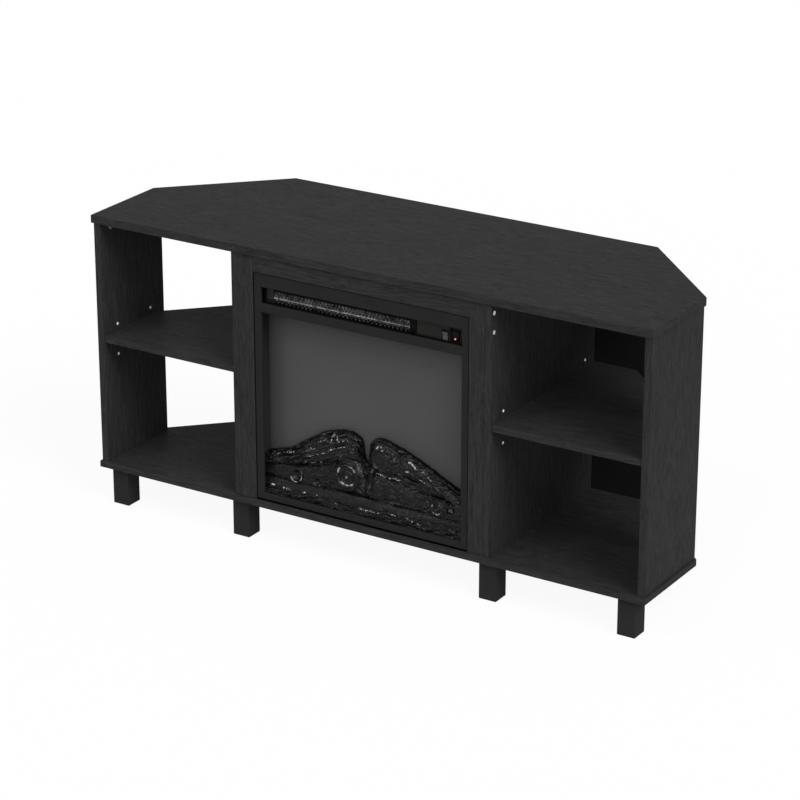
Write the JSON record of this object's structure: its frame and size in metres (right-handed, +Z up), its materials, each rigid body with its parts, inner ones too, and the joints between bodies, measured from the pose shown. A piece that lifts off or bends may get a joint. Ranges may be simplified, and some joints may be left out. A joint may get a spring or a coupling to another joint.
{
  "type": "fireplace tv stand",
  "caption": "Low six-sided corner media cabinet with open shelf bays on both sides of a built-in electric fireplace, on short square legs.",
  "frame": {"origin": "on the floor, under the middle of the cabinet's bounding box", "axes": "+X to the right seen from the front, the front faces -Y, +Z up"},
  "size_m": [1.2, 0.4, 0.592],
  "materials": {
    "black_wood": "satin black foil with a fine pressed wood grain",
    "back_board": "matte black faced hardboard",
    "leg_plastic": "satin black",
    "fittings": "zinc plated",
    "bezel_paint": "fine textured black paint",
    "black_steel": "matte black paint",
    "zinc_sheet": "galvanised sheet",
    "dark_plastic": "moulded black",
    "grey_plastic": "moulded dark grey",
    "pale_plastic": "glossy pale grey",
    "flame_screen": "smoked satin screen",
    "log_resin": "dark glazed resin bark",
    "heater_fins": "bright folded foil",
    "receiver_window": "dark translucent",
    "red_lens": "red lens"
  },
  "bodies": {
    "root": {"top_panel": "black_wood", "bottom_panel": "black_wood", "back_panel": "back_board", "frame_top_rail": "black_wood", "rear_stretcher": "black_wood", "left_side_panel": "black_wood", "right_side_panel": "black_wood", "left_divider": "black_wood", "right_divider": "black_wood", "left_frame_stile": "black_wood", "right_frame_stile": "black_wood", "left_front_cam_lock": "fittings", "left_rear_cam_lock": "fittings", "right_front_cam_lock": "fittings", "right_rear_cam_lock": "fittings", "left_frame_screw_1": "fittings", "left_frame_screw_2": "fittings", "right_frame_screw_1": "fittings", "right_frame_screw_2": "fittings", "left_shelf_pin_outer_front": "fittings", "left_shelf_pin_outer_rear": "fittings", "left_shelf_pin_inner_front": "fittings", "left_shelf_pin_inner_rear": "fittings", "right_shelf_pin_outer_front": "fittings", "right_shelf_pin_outer_rear": "fittings", "right_shelf_pin_inner_front": "fittings", "right_shelf_pin_inner_rear": "fittings", "front_left_leg": "leg_plastic", "front_inner_left_leg": "leg_plastic", "front_inner_right_leg": "leg_plastic", "front_right_leg": "leg_plastic", "rear_left_leg": "leg_plastic", "rear_right_leg": "leg_plastic", "insert_bezel": "bezel_paint", "insert_case": "black_steel", "insert_back_cover": "zinc_sheet", "cord_gland": "dark_plastic", "flame_screen": "flame_screen", "ember_bed": "log_resin", "left_log": "log_resin", "right_log": "log_resin", "outlet_grille": "black_steel", "heater_core": "heater_fins", "heater_left_block": "grey_plastic", "heater_right_block": "dark_plastic", "blower_housing": "zinc_sheet", "blower_motor": "black_steel", "flame_motor": "grey_plastic", "lamp_strip": "pale_plastic", "control_plate": "grey_plastic", "rocker_housing": "dark_plastic", "receiver_lens": "receiver_window", "led_lens": "red_lens", "left_insert_clip": "zinc_sheet", "right_insert_clip": "zinc_sheet"},
    "left_shelf": {"left_shelf": "black_wood"},
    "right_shelf": {"right_shelf": "black_wood"},
    "blower_wheel": {"blower_wheel": "heater_fins"},
    "flame_spindle": {"flame_spindle": "heater_fins"},
    "power_rocker": {"power_rocker": "pale_plastic"}
  },
  "joints": [
    {"name": "left_shelf_slide", "type": "slide", "parent": "root", "child": "left_shelf", "axis": [0, -1, 0], "range_m": [0, 0.4]},
    {"name": "right_shelf_slide", "type": "slide", "parent": "root", "child": "right_shelf", "axis": [0, -1, 0], "range_m": [0, 0.4]},
    {"name": "blower_spin", "type": "hinge", "parent": "root", "child": "blower_wheel", "pos_m": [-0.05, -0.12105, 0.51005], "axis": [1, 0, 0], "continuous": true},
    {"name": "flame_spin", "type": "hinge", "parent": "root", "child": "flame_spindle", "pos_m": [0, -0.1025, 0.1395], "axis": [1, 0, 0], "continuous": true},
    {"name": "power_rocker_tilt", "type": "hinge", "parent": "root", "child": "power_rocker", "pos_m": [0.176, -0.1783, 0.4942], "axis": [1, 0, 0], "range_deg": [-16, 0]}
  ]
}
